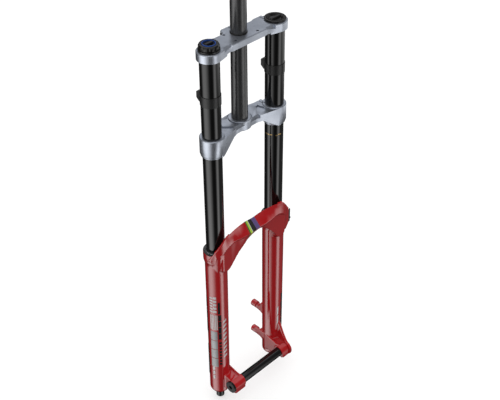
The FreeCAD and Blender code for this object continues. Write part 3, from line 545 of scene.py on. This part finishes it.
def casting_tools():
    """Everything that is machined away from the casting."""
    tools = []
    bore = [(LEG_BORE_R, LEG_FLOOR), (LEG_BORE_R, SEAL_FLOOR), (SEAL_BORE_R, SEAL_FLOOR),
            (SEAL_BORE_R, COLLAR_TOP), (COLLAR_R + 0.4, COLLAR_TOP), (COLLAR_R + 0.4, -180.0)]
    foot_hole = [(4.5, LEG_BOTTOM - 2), (4.5, LEG_FLOOR + 1)]
    for side in SIDES.values():
        tools.append(turned_solid("bore", side * LEG_X, LEG_Y, bore))
        tools.append(turned_solid("foot_hole", side * LEG_X, LEG_Y, foot_hole, 32))
    axle = (AXLE_Y, AXLE_Z)
    tools.append(rod("axle_hole", "X", -90.0, -50.0, axle, AXLE_BORE_R, 64))
    tools.append(rod("axle_seat", "X", 50.0, 60.0, axle, AXLE_BORE_R, 64))
    tools.append(rod("axle_thread", "X", 59.0, 90.0, axle, AXLE_THREAD_BORE_R, 64))
    hub = [(-75, -612), (-28, -612), (-28, -562), (-75, -562)]
    tools.append(prism("hub_faces", "X", -HUB_HALF, HUB_HALF, hub))
    tools.append(prism("damper_nose", "X", -90.0, -53.0, NOSE_WASTE))
    tools.append(prism("air_nose", "X", 53.0, AIR_ARM_X - 5.8, NOSE_WASTE))
    for z in POST_HEIGHTS:
        tools.append(rod("post_hole", "Y", 10.0, 40.0, (POST_X, z), 2.5, 32))
        tools.append(rod("post_face", "Y", 32.0, 40.0, (POST_X, z), 10.0, 32))
    tools.append(rod("guide_hole", "X", 96.0, 106.0, (-22.2, -273.0), 2.0, 24))
    return tools


def make_casting():
    """The one-piece casting: legs, arch, hoods, dropouts and brake posts."""
    damper_hood = hood(5.0)
    air_leg = leg()
    shapes = [air_leg, mirrored(air_leg), hood(0.5), mirrored(damper_hood)]
    remove(damper_hood)
    shapes.append(skinned("arch", arch_rings()))
    air_dropout = dropout(AIR_ARM_X, 4.5)
    damper_dropout = dropout(DAMPER_ARM_X, 1.5)
    shapes += air_dropout + [mirrored(piece) for piece in damper_dropout]
    remove(*damper_dropout)
    for z in POST_HEIGHTS:
        shapes += post_mount(z)
    shapes.append(dropout_fin())
    rib = [(27.0, -573.0), (22.0, -567.5), (7.0, -565.5), (-6.0, -565.5), (-14.0, -567.6), (-30.0, -572.0),
           (-30.0, -588.0), (-7.5, -584.0), (7.5, -577.5), (27.0, -582.0)]
    shapes.append(prism("post_rib", "X", ARM_INNER_X + 0.2, 61.5, rib))
    lug = [(86, -222.0), (94.5, -229.0), (103, -243.0), (104.0, -250.0), (104.0, -280.0), (96, -292.0),
           (86, -292.0)]
    shapes.append(prism("hose_lug", "Y", -28.7, -15.7, lug))
    casting = merged("casting", shapes)
    fused(casting, 0.8, 4)
    thin = casting.modifiers.new("thin", "DECIMATE")
    thin.ratio = CASTING_TRIANGLES / (2 * len(casting.data.polygons))
    apply_modifiers(casting)
    cut(casting, *casting_tools())
    shade(casting, 40)
    finish_piece(casting, "casting_red", "lowers", ["lower_legs"])


make_casting()


# Leg graphics ---------------------------------------------------------------------------------

def wrapped_block(side, radius, start, end, top, bottom, slant=0.0):
    """Thin block of ink round a leg, between two angles and two heights, with its root in the paint."""
    steps = max(2, math.ceil(abs(end - start) / 4))
    face, root = radius + INK_RELIEF, radius - INK_ROOT
    rings = []
    for i in range(steps + 1):
        angle = math.radians(start + (end - start) * i / steps)
        lift = slant * i / steps
        outline = [(face, top + lift), (face, bottom + lift), (root, bottom + lift), (root, top + lift)]
        rings.append([(side * LEG_X + r * math.cos(angle), LEG_Y + r * math.sin(angle), z)
                      for r, z in outline])
    return skinned("ink", rings)


def print_blocks(name, ink, side, body, blocks, radius):
    """Blocks of one ink as one piece."""
    pieces = [wrapped_block(side, radius, *block) for block in blocks]
    graphic = merged(name, pieces)
    shade(graphic, 30)
    finish_piece(graphic, ink, body)


def bars(start, end, top, bottom, count, fill, slant=0.0):
    """Row of equal blocks down a leg, with gaps between them."""
    pitch = (top - bottom) / count
    return [(start, end, top - i * pitch, top - i * pitch - fill * pitch, slant) for i in range(count)]


LEG_INK_R = 21.35
INK_RELIEF = 0.12
INK_ROOT = 0.28


def leg_graphics():
    """Plain blocks and bars where the maker's printing would be."""
    white = bars(183, 200, -356, -398, 6, 0.5) + bars(203, 221, -354, -398, 5, 0.62)
    white += [(start, start + 5.5, -402, -441, 1.5) for start in (184, 193, 202, 211, 219)]
    white += bars(254, 275, -420, -526, 9, 0.42, 4.0) + bars(190, 201, -546, -584, 3, 0.75, 3.0)
    silver = bars(183, 222, -446, -545, 4, 0.93)
    black = bars(228, 240, -368, -398, 1, 1.0) + bars(228, 245, -401, -468, 4, 0.9)
    black += bars(230, 244, -474, -541, 8, 0.6)
    black += bars(140, 162, -364, -459, 3, 0.9) + bars(140, 162, -494, -579, 3, 0.9)
    print_blocks("damper_leg_white", "white_ink", -1, "lowers", white, LEG_INK_R)
    print_blocks("damper_leg_silver", "silver_ink", -1, "lowers", silver, LEG_INK_R)
    print_blocks("damper_leg_black", "black_ink", -1, "lowers", black, LEG_INK_R)
    air_black = bars(280, 298, -453, -592, 6, 0.86)
    air_white = bars(252, 261, -488, -540, 2, 0.8, 5.0)
    print_blocks("air_leg_black", "black_ink", 1, "lowers", air_black, LEG_INK_R)
    print_blocks("air_leg_white", "white_ink", 1, "lowers", air_white, LEG_INK_R)
    gold = [(start, start + 12, -58.5 - rise, -60.5 - rise) for start, rise in
            ((168, 0.0), (184, 0.6), (200, 0.2), (232, 1.4), (248, 0.0), (259, 0.8))]
    print_blocks("air_stanchion_marks", "gold_ink", 1, "chassis", gold, STANCHION_R)


ARCH_STRIPES = [("green_ink", -22.0, -19.5), ("lime_ink", -19.5, -15.5), ("white_ink", -15.5, -14.3),
                ("black_ink", -14.3, -6.0), ("violet_ink", -6.0, 3.5)]


def arch_stripes():
    """Painted stripes across the front of the arch."""
    for ink, start, end in ARCH_STRIPES:
        rings = []
        for i in range(5):
            outline = arch_section(start + (end - start) * i / 4)[1:5]
            outer = [(x, y - 0.28, z + 0.1) for x, y, z in outline]
            inner = [(x, y + 1.2, z - 0.8) for x, y, z in reversed(outline)]
            rings.append(outer + inner)
        stripe = skinned("arch_stripe_" + ink, rings)
        shade(stripe, 50)
        finish_piece(stripe, ink, "lowers")


arch_stripes()
leg_graphics()


# Machined pieces ------------------------------------------------------------------------------

# Width of the broken edges of each node.
BEVELS = {
    "upper_crown": 0.6, "lower_crown": 0.7, "steerer_collar": 0.2, "upper_clamp_screws": 0.3,
    "lower_clamp_screws": 0.3, "steerer_clamp_screw": 0.3, "damper_top_cap": 0.25, "hsc_knob": 0.35,
    "air_top_cap": 0.25, "damper_frame_bumper": 0.35, "air_frame_bumper": 0.35, "axle": 0.3,
    "axle_collar": 0.3, "rebound_knob": 0.25, "hose_guide": 0.35, "hose_guide_screw": 0.3,
    "damper_foot_bolt": 0.3, "air_foot_bolt": 0.3,
}
for node, bevel in BEVELS.items():
    refined(node, bevel)


# Turned pieces --------------------------------------------------------------------------------

def turned(node, x, profile, segments=128):
    """Stands for a turned CAD node, with a rounder outline."""
    piece = turned_ring(node + "_turned", x, LEG_Y if x else 0.0, profile, segments)
    shade(piece, 25)
    finish_piece(piece, SLOTS[node], body_of(node), [node])


STEERER_PROFILE = [(12.0, -18.0), (STEERER_R, -18.0), (STEERER_R, 0.0), (14.8, 0.0), (15.0, 0.3),
                   (15.0, 9.8), (14.8, 10.7), (STEERER_R, 140.0), (STEERER_R, 165.0), (13.9, 165.0),
                   (13.9, 167.6), (STEERER_R, 167.6), (STEERER_R, 264.2), (13.5, 265.0), (12.0, 265.0)]
STANCHION_PROFILE = [(15.6, -397.0), (16.9, -397.0), (STANCHION_R, -395.5), (STANCHION_R, 166.0),
                     (15.6, 166.0)]
WIPER_PROFILE = [(17.55, -247.3), (17.75, -247.0), (18.4, -247.0), (18.7, -247.3), (19.4, -248.6),
                 (19.4, -249.8), (20.4, -250.3), (23.0, -250.5), (23.6, -251.0), (23.6, COLLAR_TOP),
                 (SEAL_BORE_R, COLLAR_TOP), (SEAL_BORE_R, SEAL_FLOOR), (18.8, SEAL_FLOOR), (18.8, -254.0),
                 (17.55, -251.0)]
GARTER_R = 19.9
GARTER_Z = -249.1
GARTER_COILS = 120


def garter_spring(name, x):
    """Closed coil spring that squeezes a wiper's lip."""
    steps = 4 * GARTER_COILS
    rings = []
    for i in range(steps):
        angle = 2 * math.pi * i / steps
        thick = 0.42 + 0.09 * math.cos(GARTER_COILS * angle)
        ring = []
        for k in range(8):
            r = GARTER_R + thick * math.cos(math.pi * k / 4)
            z = GARTER_Z + thick * math.sin(math.pi * k / 4)
            ring.append((x + r * math.cos(angle), LEG_Y + r * math.sin(angle), z))
        rings.append(ring)
    return skinned(name, rings, endless=True)


turned("steerer_tube", 0.0, STEERER_PROFILE)
for name, side in SIDES.items():
    turned(name + "_stanchion", side * LEG_X, STANCHION_PROFILE)
    turned(name + "_dust_wiper", side * LEG_X, WIPER_PROFILE)
    spring = garter_spring(name + "_garter_spring", side * LEG_X)
    shade(spring, 60)
    finish_piece(spring, "steel_bright", "lowers", [name + "_wiper_spring"])


# Adjusters ------------------------------------------------------------------------------------

def finger_bar(x, half_length, foot, top, half_width):
    """Raised bar across a dial, rounded at both ends and narrower at its top."""
    rings = []
    for z, shrink in ((foot, 0.0), (top - 0.6, 1.0), (top, 1.6)):
        ring = []
        for i in range(32):
            angle = 2 * math.pi * i / 32
            reach = half_length - half_width
            along = reach if math.cos(angle) >= 0 else -reach
            wide = half_width - shrink
            ring.append((x + along + wide * math.cos(angle), LEG_Y + wide * math.sin(angle), z))
        rings.append(ring)
    return skinned("finger_bar", rings)


def compression_dial():
    """Blue rim with a dark dished centre, a finger bar and the needle below."""
    x = -LEG_X
    rim_profile = [(9.9, 171.0), (12.0, 171.0), (12.0, 177.2), (11.7, 177.6), (10.5, 177.6), (9.9, 176.0)]
    rim = turned_ring("lsc_dial_rim", x, LEG_Y, rim_profile)
    shade(rim, 30)
    finish_piece(rim, "dial_blue", body_of("lsc_dial"), ["lsc_dial"])
    dish_profile = [(2.0, 96.0), (2.0, 171.0), (9.9, 171.0), (9.9, 175.4), (8.8, 174.6), (0.05, 174.0)]
    dish = turned_solid("dish", x, LEG_Y, dish_profile)
    core = merged("lsc_dial_core", [dish, finger_bar(x, 9.6, 173.8, 178.2, 3.4)])
    shade(core, 30)
    finish_piece(core, "knob_black", body_of("lsc_dial"))


def valve_cover():
    """Dished cover over the air valve, with its finger bar and skirt."""
    x = LEG_X
    cover_profile = [(3.95, 155.0), (6.2, 155.0), (6.2, 164.8), (14.9, 164.8), (14.9, 168.4),
                     (14.5, 168.8), (13.9, 168.8), (13.2, 168.2), (10.0, 165.6), (3.95, 165.2)]
    cover = turned_ring("cover", x, LEG_Y, cover_profile)
    lid = turned_solid("lid", x, LEG_Y, [(4.2, 164.6), (4.2, 165.25), (0.05, 165.25)], 48)
    piece = merged("air_valve_cap_refined", [cover, lid, finger_bar(x, 12.6, 165.0, 169.0, 3.4)])
    shade(piece, 30)
    finish_piece(piece, "knob_black", body_of("air_valve_cap"), ["air_valve_cap"])


compression_dial()
valve_cover()


# Studio ---------------------------------------------------------------------------------------

# What a polished upright tube mirrors, from the camera's left to its right: degrees and brightness.
STUDIO_BANDS = [(-180, 0.03), (-106, 0.03), (-93, 0.3), (-82, 1.5), (-70, 2.2), (-47, 2.4), (-27, 1.4),
                (-11, 0.42), (-3, 0.1), (17, 0.04), (34, 0.08), (44, 1.0), (52, 2.1), (64, 2.2), (74, 1.0),
                (84, 0.15), (100, 0.14), (120, 0.1), (150, 0.05), (180, 0.03)]
BAND_PEAK = 2.4
# Bearings, in degrees, between which the studio is dark to the right and lit again further round.
RIGHT_EDGES = (30, 40, 78, 90)
FAR_RIGHT_EDGES = (78, 88, 150, 165)
CAMERA_BEARING = 224.7


def make_floor():
    size, height = 30.0 / MM, cad_box[0].z / MM - 0.5
    corners = [(-size, -size), (size, -size), (size, size), (-size, size)]
    bm = bmesh.new()
    bm.faces.new([bm.verts.new(Vector((x, y, height)) * MM) for x, y in corners])
    floor = new_piece("floor", bm)
    paper = make_look("floor", (0.52, 0.52, 0.52), (0.54, 0.54, 0.54), (0.8, 0.9), grain=2.0, specular=0.0)
    paper.node_tree.nodes["Principled BSDF"].inputs["Emission Color"].default_value = (1, 1, 1, 1)
    paper.node_tree.nodes["Principled BSDF"].inputs["Emission Strength"].default_value = 0.5
    floor.data.materials.append(paper)
    floor.visible_glossy = False
    floor.visible_diffuse = False


def make_studio():
    """White light from above, with soft upright strips that only reflections see."""
    world = bpy.data.worlds.new("studio")
    bpy.context.scene.world = world
    world.use_nodes = True
    tree = world.node_tree
    direction = tree.nodes.new("ShaderNodeTexCoord").outputs["Generated"]
    turn = tree.nodes.new("ShaderNodeVectorRotate")
    turn.rotation_type = "Z_AXIS"
    turn.inputs["Angle"].default_value = -math.radians(CAMERA_BEARING)
    tree.links.new(direction, turn.inputs["Vector"])
    parts = tree.nodes.new("ShaderNodeSeparateXYZ")
    tree.links.new(turn.outputs["Vector"], parts.inputs[0])
    bearing = tree.nodes.new("ShaderNodeMath")
    bearing.operation = "ARCTAN2"
    tree.links.new(parts.outputs["Y"], bearing.inputs[0])
    tree.links.new(parts.outputs["X"], bearing.inputs[1])
    ramp = tree.nodes.new("ShaderNodeValToRGB")
    tree.links.new(remap(tree, bearing.outputs[0], -math.pi, math.pi, 0.0, 1.0), ramp.inputs["Fac"])
    elements = ramp.color_ramp.elements
    while len(elements) < len(STUDIO_BANDS):
        elements.new(0.5)
    for element, (degrees, brightness) in zip(elements, STUDIO_BANDS):
        element.position = degrees / 360 + 0.5
        element.color = (*[brightness / BAND_PEAK] * 3, 1)
    off_ground = remap(tree, parts.outputs["Z"], -0.93, -0.82, 0.1, 1.0)
    below_horizon = remap(tree, parts.outputs["Z"], -0.25, 0.05, 1.0, 0.25)
    strip = mixed(tree, product(tree, off_ground, below_horizon), (0, 0, 0), ramp.outputs["Color"])
    right = window(tree, bearing.outputs[0], *(math.radians(edge) for edge in RIGHT_EDGES))
    above = remap(tree, parts.outputs["Z"], -0.4, -0.2, 0, 1)
    strip = mixed(tree, product(tree, right, above), strip, (0.03,) * 3)
    far_right = window(tree, bearing.outputs[0], *(math.radians(edge) for edge in FAR_RIGHT_EDGES))
    level = window(tree, parts.outputs["Z"], -0.56, -0.44, 0.0, 0.2)
    strip = mixed(tree, product(tree, far_right, level), strip, (0.5,) * 3)
    along = tree.nodes.new("ShaderNodeMath")
    along.operation = "ABSOLUTE"
    tree.links.new(parts.outputs["X"], along.inputs[0])
    overhead = product(tree, remap(tree, parts.outputs["Z"], 0.25, 0.6, 0.0, 1.0),
                       remap(tree, along.outputs[0], 0.15, 0.6, 0.12, 1.0))
    sky = mixed(tree, overhead, strip, (0.40, 0.41, 0.43))
    strips = tree.nodes.new("ShaderNodeBackground")
    tree.links.new(sky, strips.inputs["Color"])
    strips.inputs["Strength"].default_value = BAND_PEAK
    even = tree.nodes["Background"]
    even.inputs["Strength"].default_value = 1.15
    tree.links.new(remap(tree, parts.outputs["Z"], -0.15, 0.15, 0.17, 1.0), even.inputs["Color"])
    paper = tree.nodes.new("ShaderNodeBackground")
    paper.inputs["Color"].default_value = (1, 1, 1, 1)
    light_path = tree.nodes.new("ShaderNodeLightPath")
    result = even.outputs[0]
    for seen_by, background in (("Is Glossy Ray", strips), ("Is Camera Ray", paper)):
        choose = tree.nodes.new("ShaderNodeMixShader")
        tree.links.new(light_path.outputs[seen_by], choose.inputs["Fac"])
        tree.links.new(result, choose.inputs[1])
        tree.links.new(background.outputs[0], choose.inputs[2])
        result = choose.outputs[0]
    tree.links.new(result, tree.nodes["World Output"].inputs["Surface"])


make_floor()
make_studio()
bpy.context.scene.view_settings.view_transform = "Standard"
